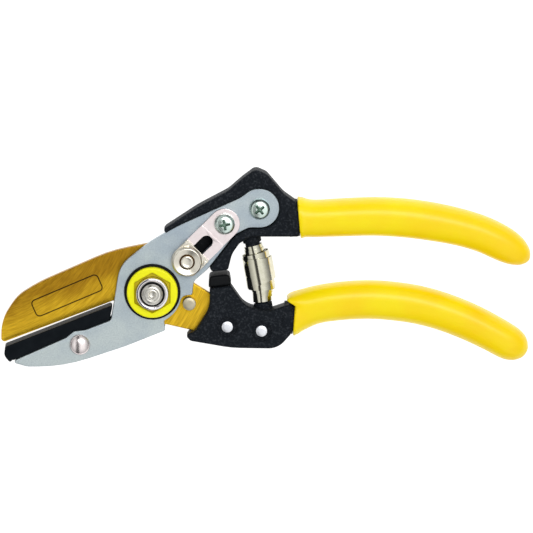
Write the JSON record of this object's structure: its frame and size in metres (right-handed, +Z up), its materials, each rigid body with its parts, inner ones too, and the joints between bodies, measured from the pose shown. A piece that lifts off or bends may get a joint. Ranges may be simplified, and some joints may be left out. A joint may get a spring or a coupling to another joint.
{
  "type": "pruning shears",
  "caption": "Anvil pruning shears, closed and locked, lying flat: a gold-coated blade closes on a fixed anvil, with cranked yellow-sleeved handles, an opening spring and a sliding catch.",
  "frame": {"origin": "on the pivot's axis, at the flat rear face of the pivot bolt's head, which the tool lies on", "axes": "+X from the pivot towards the grips, +Y from the lower handle towards the upper one, +Z up through the tool's thickness, towards the nut"},
  "size_m": [0.2007, 0.0756, 0.0204],
  "materials": {
    "plate_steel": "satin ground",
    "gold_coated_steel": "gold coating over fine grinding marks",
    "casting_black": "fine textured satin black",
    "anvil_black": "satin black",
    "rivet_steel": "bright plated",
    "zinc": "bright zinc plate",
    "nickel": "bright nickel plate",
    "grip_vinyl": "smooth dipped vinyl",
    "yellow_plastic": "moulded, half gloss",
    "black_nylon": "moulded satin",
    "black_rubber": "matte",
    "bronze": "plain sintered"
  },
  "bodies": {
    "anvil_half": {"front_jaw_plate": "plate_steel", "rear_jaw_plate": "plate_steel", "anvil": "anvil_black", "anvil_rivet": "rivet_steel", "upper_handle_casting": "casting_black", "upper_grip": "grip_vinyl", "pivot_bolt": "rivet_steel", "pivot_nut": "rivet_steel", "nut_insert": "black_nylon", "nut_locking_ring": "yellow_plastic", "ring_washer": "black_nylon", "front_friction_washer": "bronze", "rear_friction_washer": "bronze", "guide_screw": "zinc", "handle_screw": "zinc", "guide_screw_nut": "zinc", "handle_screw_nut": "zinc", "catch_guide_plate": "nickel", "volute_spring": "nickel"},
    "blade_half": {"blade": "gold_coated_steel", "pivot_bushing": "bronze", "stop_pin": "rivet_steel", "lower_handle_casting": "casting_black", "lower_grip": "grip_vinyl", "handle_rivet_jaw_side": "rivet_steel", "handle_rivet_grip_side": "rivet_steel", "stop_buffer": "black_rubber"},
    "catch": {"catch_thumb_piece": "nickel", "catch_rivet": "nickel"}
  },
  "joints": [
    {"name": "blade_pivot", "type": "hinge", "parent": "anvil_half", "child": "blade_half", "pos_m": [0, 0, 0.0078], "axis": [0, 0, -1], "range_deg": [-1.2, 38], "deforming": ["volute_spring"]},
    {"name": "catch_slide", "type": "slide", "parent": "anvil_half", "child": "catch", "axis": [0.7071, 0.7071, 0], "range_m": [0, 0.008]}
  ]
}
